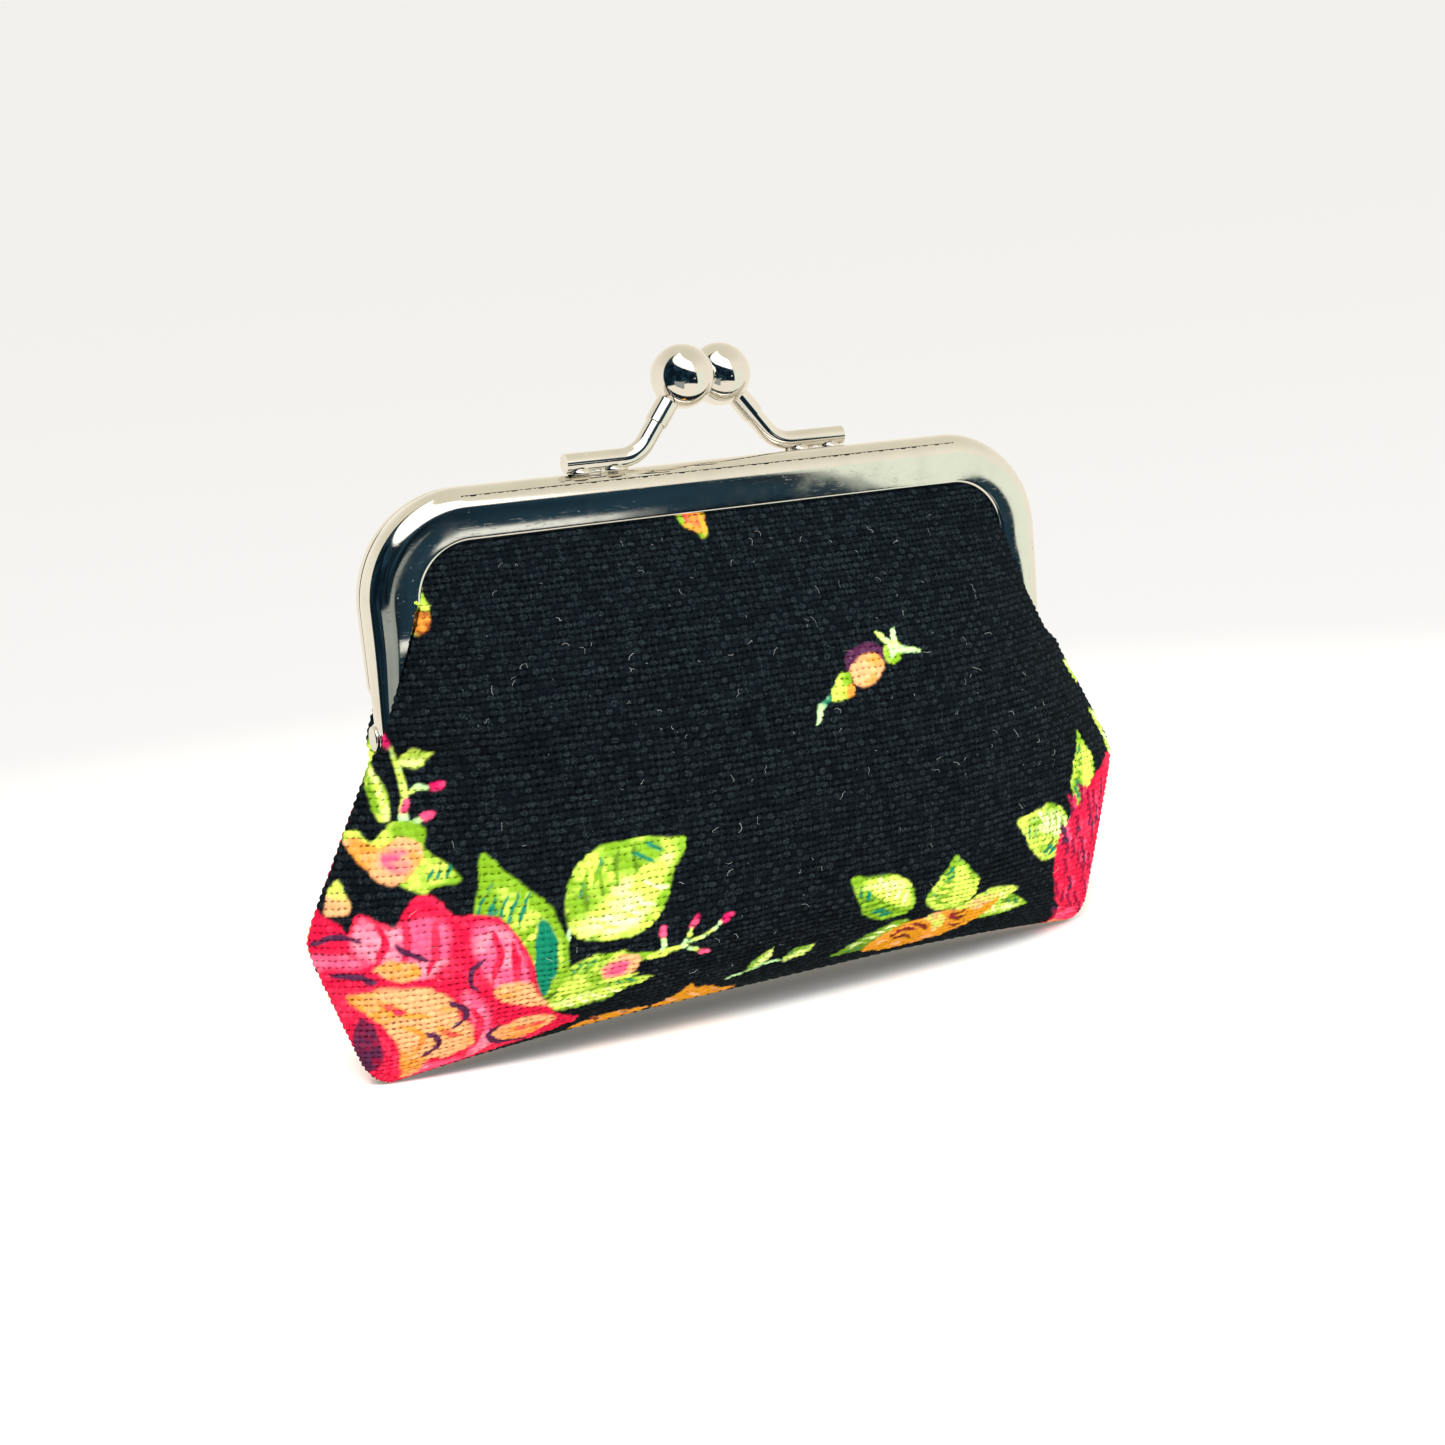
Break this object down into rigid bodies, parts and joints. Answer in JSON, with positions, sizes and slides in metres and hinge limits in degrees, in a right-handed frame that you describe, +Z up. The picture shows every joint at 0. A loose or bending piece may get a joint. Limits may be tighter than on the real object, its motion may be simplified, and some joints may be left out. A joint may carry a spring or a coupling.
{
  "type": "coin purse",
  "caption": "Small kiss-lock coin purse: padded cloth pouch with a floral print, gripped by a hinged steel channel frame with a ball clasp.",
  "frame": {"origin": "middle of the flattened base, on the surface that the purse stands on", "axes": "+X along the frame from left to right seen from the front, -Y out of the front, +Z up; the hinge axis runs along X"},
  "size_m": [0.1048, 0.0288, 0.0763],
  "materials": {
    "frame_nickel": "polished",
    "rivet_nickel": "polished",
    "clasp_nickel": "polished",
    "packing_paper": "matte",
    "thread": "matte",
    "printed_canvas": "coarse plain weave, printed",
    "wadding": "soft fleece",
    "lining": "smooth plain weave"
  },
  "bodies": {
    "bag": {"outer_canvas_pouch": "printed_canvas", "wadding_pouch": "wadding", "lining_pouch": "lining", "left_seam_thread": "thread", "right_seam_thread": "thread"},
    "front_half": {"front_frame": "frame_nickel", "front_clasp_arm": "clasp_nickel", "front_clasp_ball": "clasp_nickel", "front_packing_cord": "packing_paper", "left_hinge_rivet": "rivet_nickel", "right_hinge_rivet": "rivet_nickel", "front_outer_canvas_panel": "printed_canvas", "front_wadding_panel": "wadding", "front_lining_panel": "lining"},
    "rear_half": {"rear_frame": "frame_nickel", "rear_clasp_arm": "clasp_nickel", "rear_clasp_ball": "clasp_nickel", "rear_packing_cord": "packing_paper", "rear_outer_canvas_panel": "printed_canvas", "rear_wadding_panel": "wadding", "rear_lining_panel": "lining"}
  },
  "joints": [
    {"name": "front_opening", "type": "hinge", "parent": "bag", "child": "front_half", "pos_m": [0, 0, 0.0376], "axis": [1, 0, 0], "range_deg": [0, 45]},
    {"name": "rear_opening", "type": "hinge", "parent": "bag", "child": "rear_half", "pos_m": [0, 0, 0.0376], "axis": [1, 0, 0], "range_deg": [-45, 0]}
  ],
  "couplings": [
    {"joint": "rear_opening", "follows": "front_opening", "ratio": -1}
  ]
}
